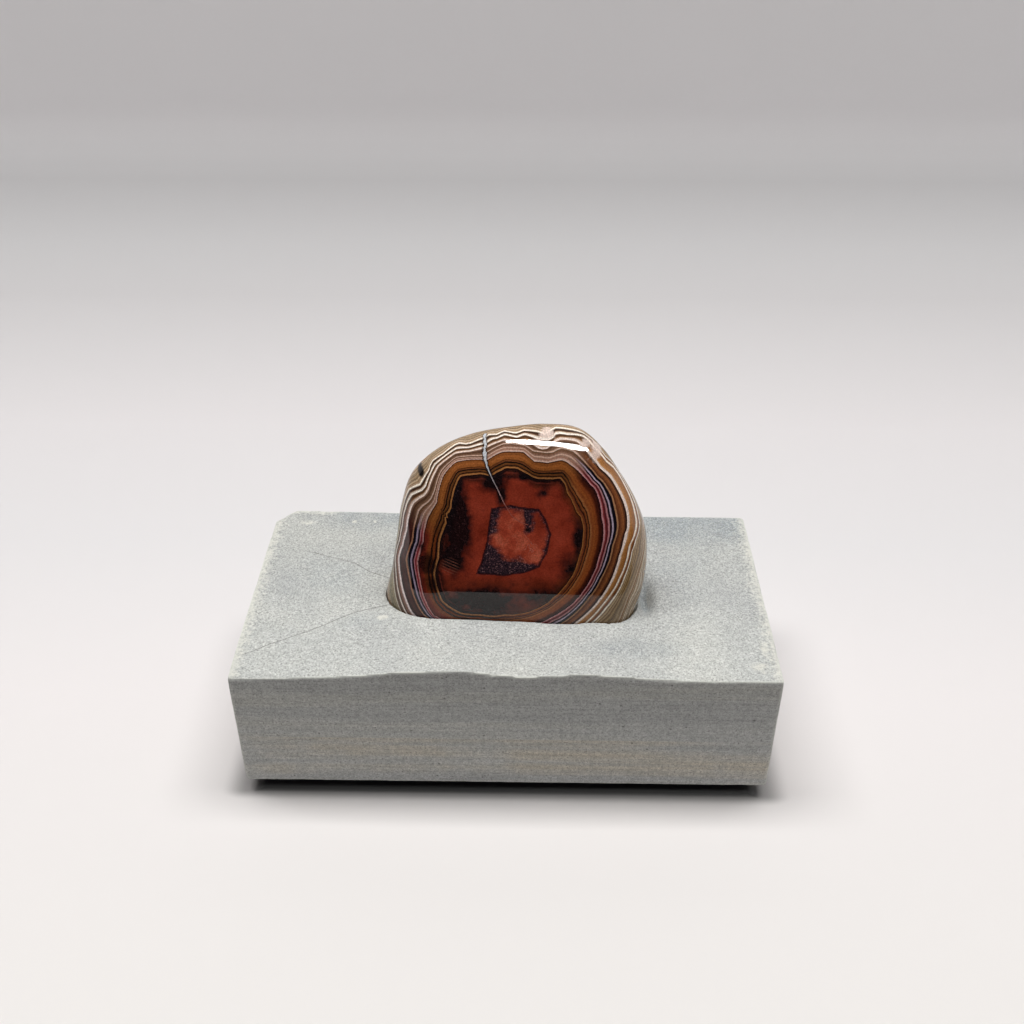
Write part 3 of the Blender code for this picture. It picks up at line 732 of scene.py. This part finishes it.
    # dark clouds round it
    smoke = add("ValToRGB", {0: grain[0.6]}, stops=((0.40, "#141013"), (0.60, "#20171a"), (0.72, "#3a2829")))
    red = lay(smoke, red, mark["clouds"], 2.2, 0.9, 0.57, 1.1, 0.97)
    # pale curls and a short ladder of pale rungs
    curl = add("Math", {0: grain[3], 1: 0.5, 2: 0.012}, operation="COMPARE")
    curl = fade(add, curl, mark["whiskers"], 3.2, 2.0, 0, 0.6)
    red = add("Mix", {0: curl, 6: red, 7: "#c07c6c"}, **blend)
    rung = add("VectorMath", {0: place, 1: agate["rungs"]}, out="Value", operation="DOT_PRODUCT")
    rung = add("MapRange", {0: add("Math", {0: rung}, operation="SINE"), 1: 0.2, 2: 0.9})
    rung = fade(add, rung, mark["ladder"], 2.6, 1.6, 0, 0.6)
    red = add("Mix", {0: rung, 6: red, 7: "#8f5a4a"}, **blend)
    colour = add("Mix", {0: add("MapRange", {0: band, 1: 0.90, 2: 0.93}), 6: red, 7: colour}, **blend)

    # the crack: open, ragged and pale where it meets the edge, healed to a thread lower down
    openPart = {1: 76.5 * mm, 2: 80.5 * mm}
    ragged = add("MapRange", {0: height, **openPart, 3: 0.1, 4: 1.3})
    gap = add("Math", {0: mark["crack"]}, operation="ABSOLUTE")
    gap = add("Math", {0: grain[0.9], 1: ragged, 2: gap}, operation="MULTIPLY_ADD")
    border = add("Math", {0: gap, 1: add("Math", {0: ragged, 1: 0.5}, operation="MULTIPLY")},
                 operation="SUBTRACT")
    border = add("MapRange", {0: border, 1: 0.75, 2: 0.3})
    border = fade(add, border, height, 68 * mm, 74 * mm)
    colour = add("Mix", {0: border, 6: colour, 7: "#120d12"}, **blend)
    upper = add("MapRange", {0: height, 1: 68 * mm, 2: 78 * mm})
    thread = add("Mix", {0: upper, 6: "#a85a4c", 7: "#cfd1d8"}, **blend)
    size = add("MapRange", {0: height, **openPart, 3: 0.17, 4: 0.98})
    inside = add("Math", {0: gap, 1: size}, operation="LESS_THAN")
    inside = add("Math", {0: inside, 1: 0.9}, operation="MULTIPLY")
    colour = add("Mix", {0: inside, 6: colour, 7: thread}, **blend)
    # a small dark eye at the upper left
    colour = lay("#1c1614", colour, mark["eye"], 1.5, 1.0, 1.6, 1.1)
    colour = tint(add, colour, grain[0.35], 0.3, 0.7, 0.70, 1.26)
    shader = add("BsdfPrincipled", {"Base Color": colour, "Roughness": 0.035, "IOR": 1.54})
    add("OutputMaterial", {"Surface": shader})
    return material


makeAgate()
print("agate made")


# the block: the part's solid, given the fine relief of split and sawn stone

block = {
    "voxel": 0.6,             # mm, size of the mesh steps
    "skin": 0.003,            # mm, how far all of it stays inside the part's own surface
    "grainSize": 2.4,         # mm, of the relief on the split top
    "grainDepth": 0.14,
    "pitSize": 1.3,
    "pitDepth": 0.3,
    "chipSize": 4.5,
    "chipWidth": 1.1,         # mm, how far worn edges reach
    "chipDepth": 0.3,
    "topEdge": 3,             # mm down from the top, where chips are deepest
    "dustWidth": 5.0,         # mm, the dusty strip on top along the sides
    "dustFrom": -50,          # mm, along the back it is only left of here
    "recess": (38, 20),       # mm, half length and width of the part round the recess with no relief
    "recessTop": 37.5,        # mm, the height up to which it has none
    "recessEdge": (40, 22),   # mm, half length and width of the part with no bruised edges
    "longCrack": (            # hairlines on top, x and y in mm
        (-66, -27.5), (-60.7, -24.9), (-57.5, -22.7), (-52.7, -20.1), (-49.3, -18.2), (-44.9, -15.5),
        (-41.5, -12.8), (-37.9, -10.4), (-31.4, -8.0), (-20, -4)),
    "shortCrack": (
        (-60, 17), (-53.7, 14.6), (-46.1, 11.7), (-40.5, 9.6), (-36.1, 5.8), (-31.6, 3.8), (-20, -1)),
    "flecks": (               # whitish flecks on top: x, y, half width, half height, strength
        (-30.7, -12.2, 1.8, 1.2, 1.0), (-28.0, -16.5, 2.0, 1.2, 0.6), (-43.0, 28.6, 0.9, 0.9, 1.0),
        (-37.4, 28.7, 0.8, 0.8, 0.9), (-40.0, -25.0, 2.0, 1.2, 0.6), (60.0, -29.0, 3.5, 3.0, 0.75),
        (50.0, 24.0, 3.0, 1.5, 0.5), (62.0, 4.0, 1.5, 8.0, 0.6), (-56.0, 28.0, 4.0, 2.2, 0.75),
        (62.0, -22.0, 2.0, 5.0, 0.7)),
    "blue": (                 # painted shade: darker, slightly bluish patches where shallow hollows on top lie in shade; the last is the agate's shadow beside it
        (30.0, -23.0, 14.0, 4.5, 0.6), (-46.0, 4.0, 14.0, 11.0, 0.5), (44.0, 6.0, 12.0, 14.0, 0.5),
        (-38.0, -14.0, 9.0, 4.0, 0.5), (45.0, 30.0, 30.0, 11.0, 1.2), (-30.0, 32.0, 26.0, 8.0, 0.8),
        (35.4, -2.0, 1.6, 5.5, 1.8)),
    "hollow": ((34.8, -2.0, 1.9, 6.5, 3.2),),   # a worn dip beside the agate, its depth last
    "hollowFrom": 34,         # mm, the height below which the dip moves nothing
    "front": -34.0,
    "back": 34.0,
    "side": 65.0,
    "top": 38.9,
    "bottom": 3.5,
}


# a copy of one node's mesh with its corners welded, laid anew in even steps
def remeshNode(name, step):
    shape = bmesh.new()
    shape.from_mesh(bpy.data.objects[name].data)
    bmesh.ops.remove_doubles(shape, verts=shape.verts, dist=1e-6)
    mesh = bpy.data.meshes.new(name + "Dressed")
    shape.to_mesh(mesh)
    shape.free()
    piece = bpy.data.objects.new(name + "Dressed", mesh)
    bpy.context.scene.collection.objects.link(piece)
    remesh = piece.modifiers.new("remesh", "REMESH")
    remesh.mode = "VOXEL"
    remesh.voxel_size = step
    remesh.use_smooth_shade = True
    bpy.context.view_layer.update()
    fine = bpy.data.meshes.new_from_object(piece.evaluated_get(bpy.context.evaluated_depsgraph_get()))
    bpy.data.objects.remove(piece)
    return fine


def makeBlock():
    fine = remeshNode("stone_block", block["voxel"] * mm)
    place, normal = readVertices(fine, "co") / mm, readVertices(fine, "normal")
    x, y, z = place.T
    at = place[:, :2]
    # how far inside each of the block's flat sides a vertex is: at an edge, two of them are near 0
    gaps = np.stack([y - block["front"], block["back"] - y, block["side"] - abs(x),
                     block["top"] - z, z - block["bottom"]])
    edge = np.clip(1 - np.sort(np.abs(gaps), axis=0)[1] / block["chipWidth"], 0, 1)
    isTop = np.clip(normal[:, 2] * 4 - 2.5, 0, 1)
    grain = noiseAt(place, block["grainSize"], 4)
    depth = (0.5 + 0.5 * grain) * block["grainDepth"] * (0.25 + 0.75 * isTop)
    pits = np.clip(noiseAt(place, block["pitSize"], 2, shift=9) - 0.55, 0, 1)
    chips = np.clip(noiseAt(place, block["chipSize"], 3, shift=31) + 0.1, 0, 1)
    depth += pits * block["pitDepth"]
    nearTop = block["top"] - z < block["topEdge"]
    depth += edge * (0.02 + chips * block["chipDepth"] * (0.35 + 0.65 * nearTop))
    inRecess = np.hypot(*(at / block["recess"]).T) < 1
    inRecess &= (z < block["recessTop"]) & (gaps.min(axis=0) > 1)
    depth = np.where(inRecess, 0, np.maximum(depth, 0)) + block["skin"]
    moved = place - normal * depth[:, None]
    rise = np.clip((z - block["hollowFrom"]) / (block["top"] - block["hollowFrom"]), 0, 1)
    moved[:, 2] -= patchStrength(at, block["hollow"]) * rise
    fine.vertices.foreach_set("co", (moved * mm).ravel())
    # the bruised corner line along the edges, the dusty strip beside them, and the hairlines
    atRecess = np.hypot(*(at / block["recessEdge"]).T) < 1
    slant = np.sort(np.abs(normal), axis=1)[:, 1]
    addAttribute(fine, "bruise", np.where(atRecess, 0, np.clip(slant * 2.2 - 0.5, 0, 1)))
    sides = np.minimum(gaps[2], np.hypot(np.maximum(gaps[1], 0), np.maximum(x - block["dustFrom"], 0)))
    addAttribute(fine, "dust", np.clip(1 - sides / block["dustWidth"], 0, 1))
    for name in ("longCrack", "shortCrack"):
        addAttribute(fine, name, sideDistance(at, block[name]))
    for name in ("flecks", "blue"):
        addAttribute(fine, name, patchStrength(at, block[name]))
    fine.set_sharp_from_angle(angle=0.6)
    fine.update()
    print("block has", len(fine.loop_triangles), "triangles")
    addPiece("dressedBlock", fine, stoneMaterial(), "root", "stone_block", "stone_block")


# fine grey sandstone: split and worn on top, sawn on the sides, so matt, speckled and dusty at the edges
def stoneMaterial():
    material, add = newMaterial("sawnGreySandstone")
    place = add("TexCoord", out="Object")
    height = add("SeparateXYZ", {0: place}, out=2)
    isTop = add("SeparateXYZ", {0: add("NewGeometry", out="True Normal")}, out=2)
    isTop = add("MapRange", {0: isTop, 1: 0.55, 2: 0.8})
    mark = {name: add("Attribute", out="Fac", attribute_name=name) for name in (
        "bruise", "dust", "longCrack", "shortCrack", "flecks", "blue")}
    # noise by the size of its grains in mm, and the same drawn out along the saw's path
    grain = {size: add("TexNoise", {"Vector": place, "Scale": 1000 / size, "Detail": detail})
             for size, detail in ((0.4, 3), (0.7, 2), (1.6, 4), (6, 4), (26, 4))}
    along = add("VectorMath", {0: place, 1: (0.03, 0.03, 1.0)}, operation="MULTIPLY")
    sawn = {size: add("TexNoise", {"Vector": along, "Scale": 1000 / size, "Detail": 3}) for size in (0.6, 4)}

    top = add("ValToRGB", {0: grain[26]}, stops=((0.30, "#a6a8a8"), (0.50, "#b1b3b1"), (0.70, "#bcbdb9")))
    top = tint(add, top, add("SeparateXYZ", {0: place}, out=1), -34 * mm, 30 * mm, 1.06, 0.86)
    # painted shade: darker bluish patches in the hollows on top and in the agate's shadow beside it
    blue = add("Math", {0: grain[6], 1: mark["blue"]}, operation="MULTIPLY")
    blue = add("MapRange", {0: blue, 1: 0.1, 2: 0.6})
    top = add("Mix", {0: blue, 6: top, 7: "#93999c"}, **blend)
    side = add("ValToRGB", {0: sawn[4]}, stops=(
        (0.30, "#a9aaa9"), (0.50, "#b0b1af"), (0.60, "#b6b6b1"), (0.72, "#aeafac")))
    # warm layers in the lower half of the sides
    warm = add("Math", {0: height, 1: 12.5 * mm, 2: 6.5 * mm}, operation="COMPARE")
    warm = fade(add, warm, sawn[4], 0.42, 0.62, 0, 0.75)
    warm = fade(add, warm, grain[26], 0.4, 0.56)
    side = add("Mix", {0: warm, 6: side, 7: "#bdb4a3"}, **blend)
    side = tint(add, side, sawn[0.6], 0.3, 0.7, 0.9, 1.1)
    side = tint(add, side, height, 36 * mm, 6 * mm, 0.84, 1.12)
    colour = add("Mix", {0: isTop, 6: side, 7: top}, **blend)
    # specks of pale and dark grains, and a few open pores
    colour = tint(add, colour, grain[0.4], 0.3, 0.7, 0.80, 1.2)
    colour = tint(add, colour, grain[0.7], 0.3, 0.7, 0.82, 1.16)
    salt = fade(add, isTop, grain[0.4], 0.57, 0.68, 0, 0.28)
    colour = add("Mix", {0: salt, 6: colour, 7: "#e3e4df"}, **blend)
    dots = add("MapRange", {0: grain[0.4], 1: 0.42, 2: 0.34, 4: 0.5})
    colour = add("Mix", {0: dots, 6: colour, 7: "#74736f"}, **blend)
    pores = add("TexVoronoi", {"Vector": place, "Scale": 1000 / 4.5})
    pores = add("MapRange", {0: pores, 1: 0.075, 2: 0.05})
    pores = fade(add, pores, isTop, 0, 1, 0.6, 0.12)
    colour = add("Mix", {0: pores, 6: colour, 7: "#4a4846"}, **blend)
    # hairlines on top
    for name, start, full in (("longCrack", -67, -62), ("shortCrack", -58, -50)):
        line = add("Math", {0: mark[name]}, operation="ABSOLUTE")
        line = add("Math", {0: grain[1.6], 1: 0.3, 2: line}, operation="MULTIPLY_ADD")
        line = fade(add, isTop, line, 0.36, 0.22, 0, 0.55)
        line = fade(add, line, add("SeparateXYZ", {0: place}), start * mm, full * mm)
        colour = add("Mix", {0: line, 6: colour, 7: "#57534f"}, **blend)
    # pale dust along the sides, flecks on top, and the bruised, whitened edges
    dust = add("Math", {0: grain[1.6], 1: 0.9, 2: mark["dust"]}, operation="MULTIPLY_ADD")
    dust = add("Math", {0: grain[0.7], 1: 1.4, 2: dust}, operation="MULTIPLY_ADD")
    dust = add("MapRange", {0: dust, 1: 1.5, 2: 2.15, 4: 0.7})
    fleck = add("Math", {0: grain[1.6], 1: 0.9, 2: mark["flecks"]}, operation="MULTIPLY_ADD")
    fleck = add("MapRange", {0: fleck, 1: 0.95, 2: 1.2, 4: 0.75})
    fleck = fade(add, fleck, grain[0.7], 0.35, 0.5, 0.65)
    dust = add("Math", {0: dust, 1: fleck}, operation="MAXIMUM")
    dust = add("Math", {0: dust, 1: isTop}, operation="MULTIPLY")
    colour = add("Mix", {0: dust, 6: colour, 7: "#d3d2c9"}, **blend)
    bruise = fade(add, mark["bruise"], grain[6], 0.3, 0.6, 0.35)
    colour = add("Mix", {0: bruise, 6: colour, 7: "#d3d4cd"}, **blend)
    relief = add("Mix", {0: isTop, 2: sawn[0.6], 3: grain[0.4]})
    bump = add("Bump", {"Height": relief, "Distance": 0.12 * mm, "Strength": 0.8})
    shader = add("BsdfPrincipled", {
        "Base Color": colour, "Roughness": 0.88, "Specular IOR Level": 0.35, "Normal": bump})
    add("OutputMaterial", {"Surface": shader})
    return material


# moulded rubber pads: dark, slightly greyed by handling
def rubberMaterial():
    material, add = newMaterial("mouldedBlackRubber")
    cloud = add("TexNoise", {"Vector": add("TexCoord", out="Object"), "Scale": 1000 / 2.5, "Detail": 4})
    colour = add("ValToRGB", {0: cloud}, stops=((0.35, "#19191a"), (0.65, "#2b2b2c")))
    add("OutputMaterial", {"Surface": add("BsdfPrincipled", {"Base Color": colour, "Roughness": 0.65})})
    return material


makeBlock()
rubber = rubberMaterial()
for name in ("foot_front_left", "foot_front_right", "foot_back_left", "foot_back_right"):
    bpy.data.objects[name].material_slots[0].material = rubber
print("block and feet made")
